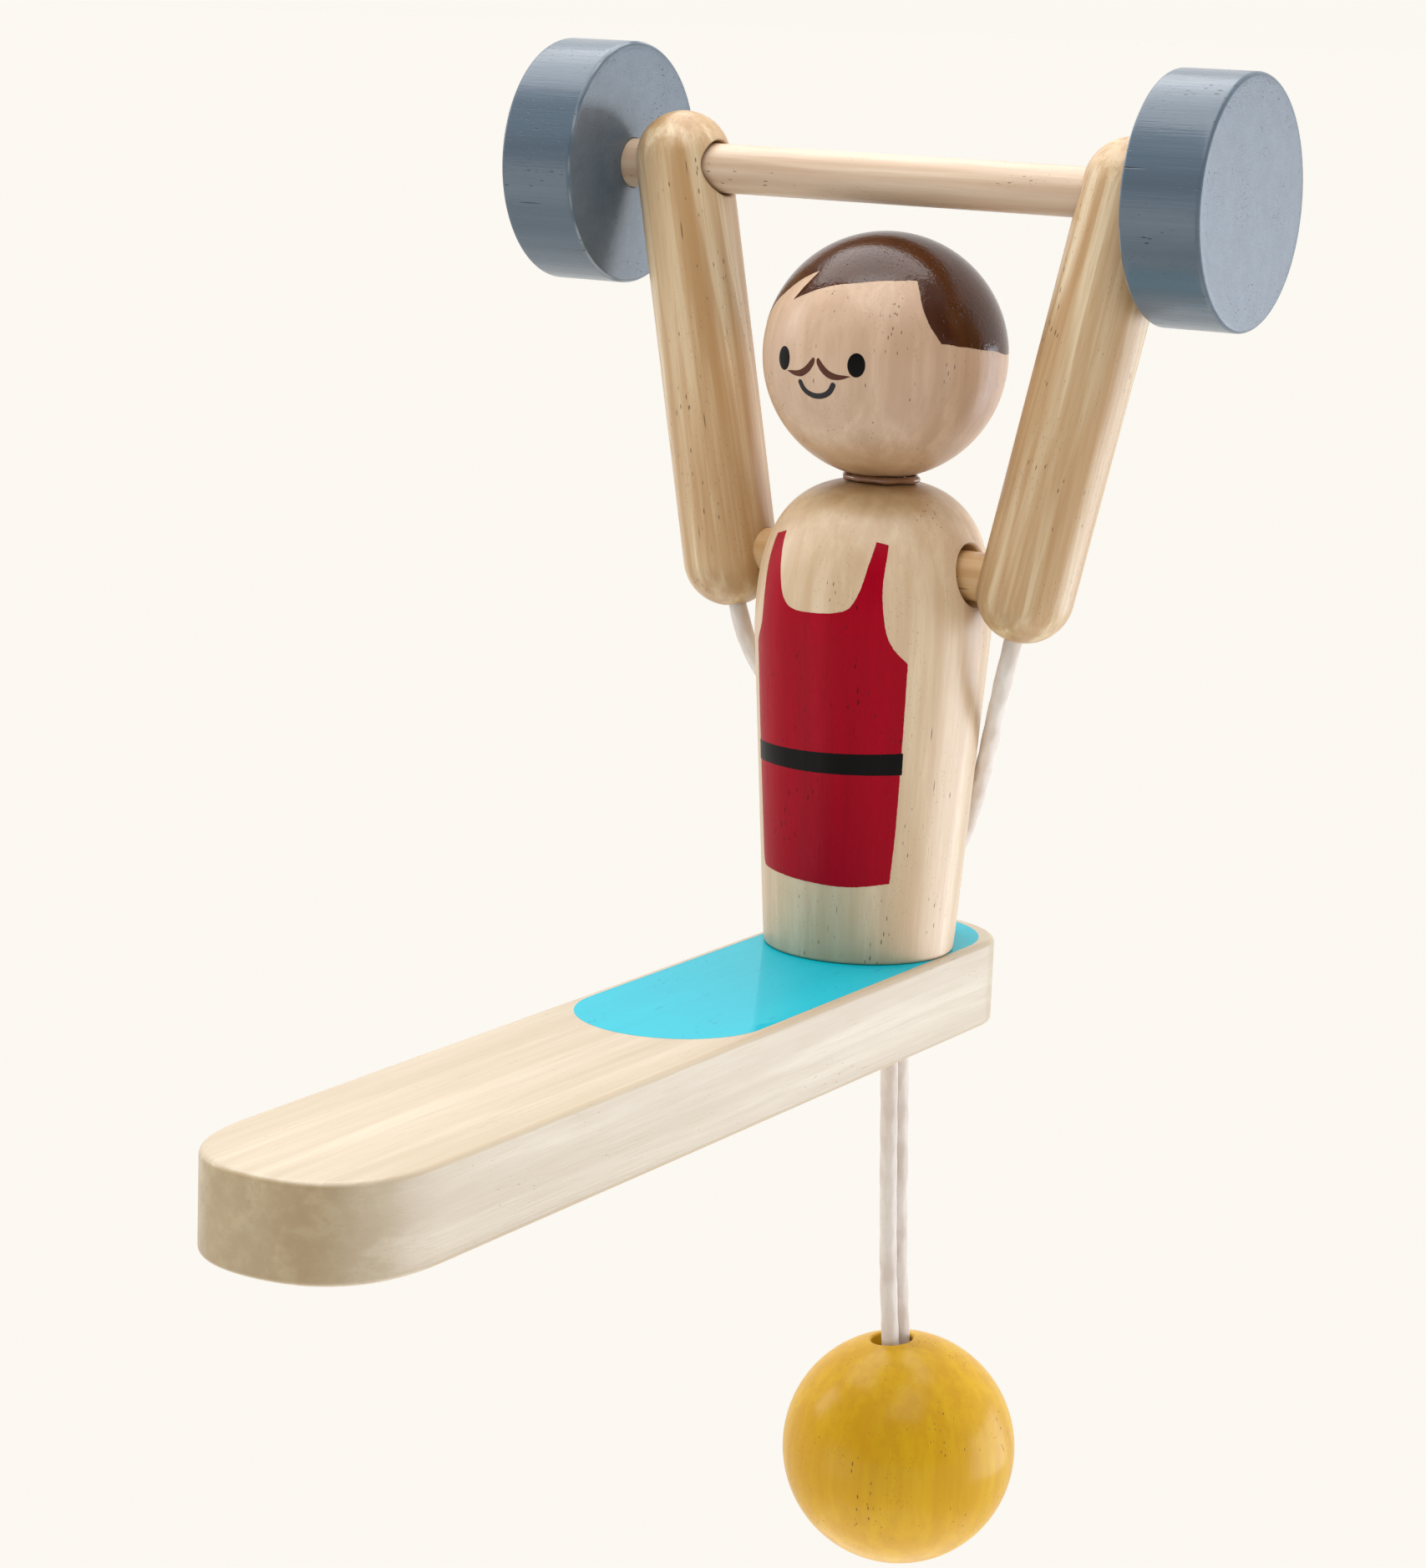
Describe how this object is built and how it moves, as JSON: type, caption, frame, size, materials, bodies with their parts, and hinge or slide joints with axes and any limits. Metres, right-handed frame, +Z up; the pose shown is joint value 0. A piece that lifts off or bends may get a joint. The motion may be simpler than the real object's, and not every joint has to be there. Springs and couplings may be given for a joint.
{
  "type": "pull-string weightlifter toy",
  "caption": "Wooden pull-string toy figure on a handle board: pulling the ball that hangs under the board swings its arms up and lifts a barbell overhead.",
  "frame": {"origin": "the middle of the grip, on the flat underside of the handle board, where a hand holds the toy", "axes": "+Z up, from the board towards the figure's head; +Y along the board, from the grip towards the figure; +X across the board, to the figure's left, as the figure faces the grip"},
  "size_m": [0.126, 0.2038, 0.2598],
  "materials": {
    "board_wood": "sanded pale hardwood with long grain, sealed clear; a glossy sky-blue painted patch under the figure",
    "torso_wood": "turned pale hardwood, sealed clear; a red painted singlet with a black belt on the front",
    "head_wood": "turned pale hardwood ball, sealed clear; brown painted hair and a simple painted doll's face",
    "dowel_wood": "raw birch dowel",
    "arm_wood": "sanded hardwood dowel, satin sealed, streaked along the grain",
    "bar_wood": "sanded birch dowel, satin sealed",
    "plate_paint": "blue-grey painted wood, satin, with the grain's pores showing through",
    "ball_stain": "mustard-yellow painted wood ball, satin",
    "string_cotton": "off-white soft cotton cord, matt"
  },
  "bodies": {
    "base": {"handle_board": "board_wood", "torso": "torso_wood", "head": "head_wood", "neck_dowel": "dowel_wood", "foot_dowel": "dowel_wood"},
    "arms": {"left_arm": "arm_wood", "right_arm": "arm_wood", "shoulder_axle": "dowel_wood", "left_upper_string": "string_cotton", "right_upper_string": "string_cotton"},
    "barbell": {"barbell_bar": "bar_wood", "left_plate": "plate_paint", "right_plate": "plate_paint"},
    "hanging_strings": {"left_hanging_string": "string_cotton", "right_hanging_string": "string_cotton"},
    "ball": {"pull_ball": "ball_stain", "string_knot": "string_cotton"}
  },
  "joints": [
    {"name": "arm_swing", "type": "hinge", "parent": "base", "child": "arms", "pos_m": [0, 0.12, 0.0786], "axis": [1, 0, 0], "range_deg": [0, 155], "deforming": ["left_upper_string", "right_upper_string"]},
    {"name": "barbell_spin", "type": "hinge", "parent": "arms", "child": "barbell", "pos_m": [-0.0013, 0.1223, 0.1411], "axis": [1, 0, 0], "continuous": true},
    {"name": "ball_swing", "type": "hinge", "parent": "base", "child": "hanging_strings", "pos_m": [0, 0.1346, 0], "axis": [1, 0, 0], "range_deg": [-60, 60]},
    {"name": "ball_pull", "type": "slide", "parent": "hanging_strings", "child": "ball", "axis": [0, 0, 1], "range_m": [0, 0.0152], "deforming": ["left_hanging_string", "right_hanging_string"]}
  ],
  "couplings": [
    {"joint": "ball_pull", "follows": "arm_swing", "m_per_rad": 0.0056}
  ]
}
